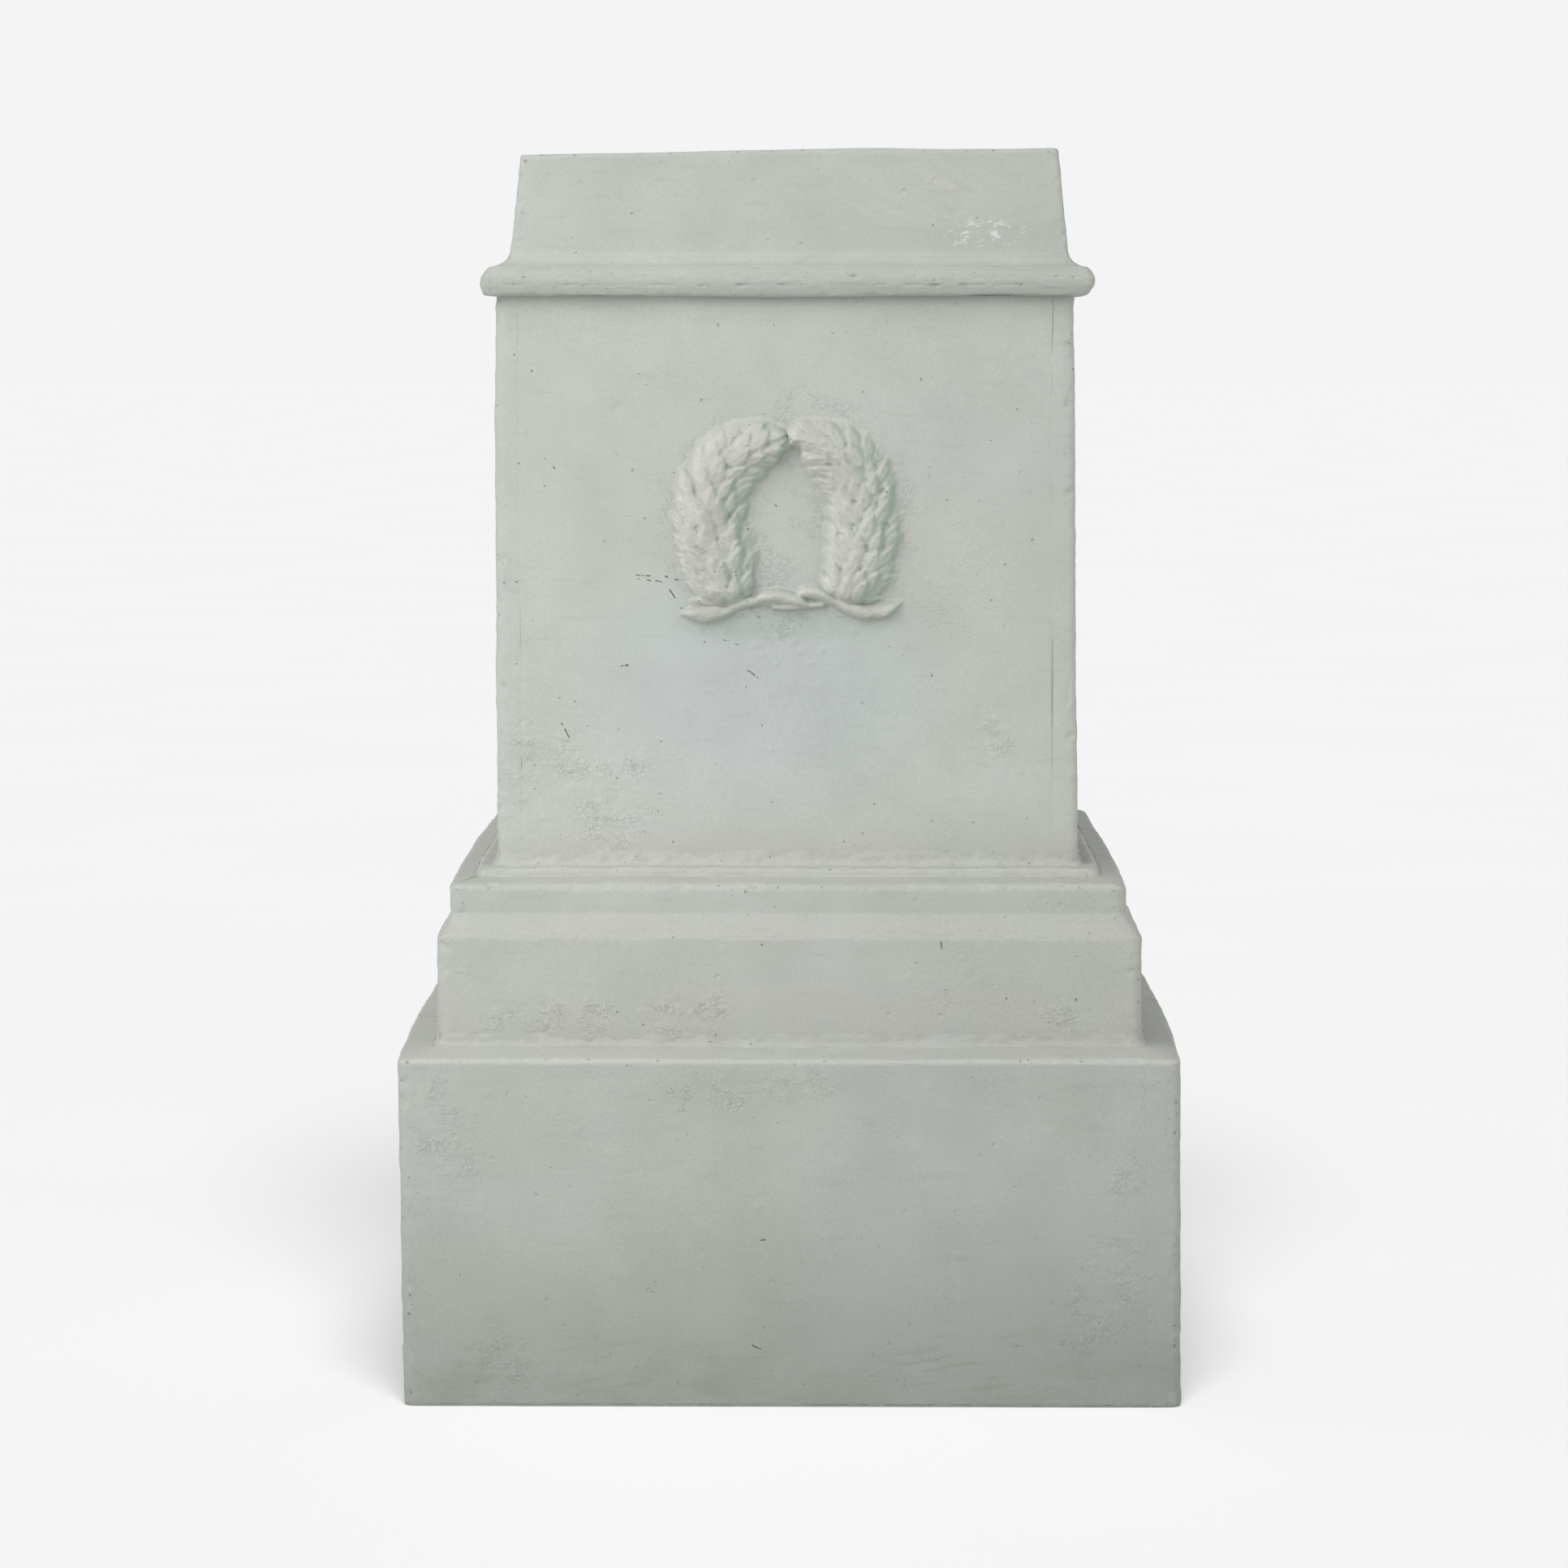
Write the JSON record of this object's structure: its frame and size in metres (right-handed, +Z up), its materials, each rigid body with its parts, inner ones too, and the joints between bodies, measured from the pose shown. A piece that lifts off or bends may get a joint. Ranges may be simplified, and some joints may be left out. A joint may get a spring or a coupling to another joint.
{
  "type": "vase pedestal",
  "caption": "Square stepped and moulded pedestal for a vase, hollow, with a bull-nose under its flat cap and a laurel wreath in relief on the front.",
  "frame": {"origin": "centre of the footprint, on the floor", "axes": "+Z up, the front with the wreath faces -Y, +X to the right seen from the front"},
  "size_m": [0.4, 0.4, 0.644],
  "materials": {
    "painted_plaster": "cast plaster slabs under a matt, pale grey-green distemper",
    "wreath_plaster": "cast plaster relief under a thin, warm white coat, satin",
    "putty": "plaster putty smeared by hand, painted over, matt",
    "timber": "planed softwood, unfinished"
  },
  "bodies": {
    "root": {"base_front_slab": "painted_plaster", "lower_putty_front": "putty", "step_front_casting": "painted_plaster", "foot_bead_front": "painted_plaster", "upper_putty_front": "putty", "shaft_front_slab": "painted_plaster", "bull_nose_front": "painted_plaster", "cap_front_casting": "painted_plaster", "base_right_slab": "painted_plaster", "lower_putty_right": "putty", "step_right_casting": "painted_plaster", "foot_bead_right": "painted_plaster", "upper_putty_right": "putty", "shaft_right_slab": "painted_plaster", "bull_nose_right": "painted_plaster", "cap_right_casting": "painted_plaster", "base_back_slab": "painted_plaster", "lower_putty_back": "putty", "step_back_casting": "painted_plaster", "foot_bead_back": "painted_plaster", "upper_putty_back": "putty", "shaft_back_slab": "painted_plaster", "bull_nose_back": "painted_plaster", "cap_back_casting": "painted_plaster", "base_left_slab": "painted_plaster", "lower_putty_left": "putty", "step_left_casting": "painted_plaster", "foot_bead_left": "painted_plaster", "upper_putty_left": "putty", "shaft_left_slab": "painted_plaster", "bull_nose_left": "painted_plaster", "cap_left_casting": "painted_plaster", "base_batten_front_left": "timber", "step_block_front_left": "timber", "shaft_batten_front_left": "timber", "cap_block_front_left": "timber", "base_batten_front_right": "timber", "step_block_front_right": "timber", "shaft_batten_front_right": "timber", "cap_block_front_right": "timber", "base_batten_back_right": "timber", "step_block_back_right": "timber", "shaft_batten_back_right": "timber", "cap_block_back_right": "timber", "base_batten_back_left": "timber", "step_block_back_left": "timber", "shaft_batten_back_left": "timber", "cap_block_back_left": "timber", "base_deck": "timber", "step_deck": "timber", "top_slab": "painted_plaster", "wreath_left_branch": "wreath_plaster", "wreath_right_branch": "wreath_plaster", "wreath_ribbon": "wreath_plaster"}
  },
  "joints": []
}
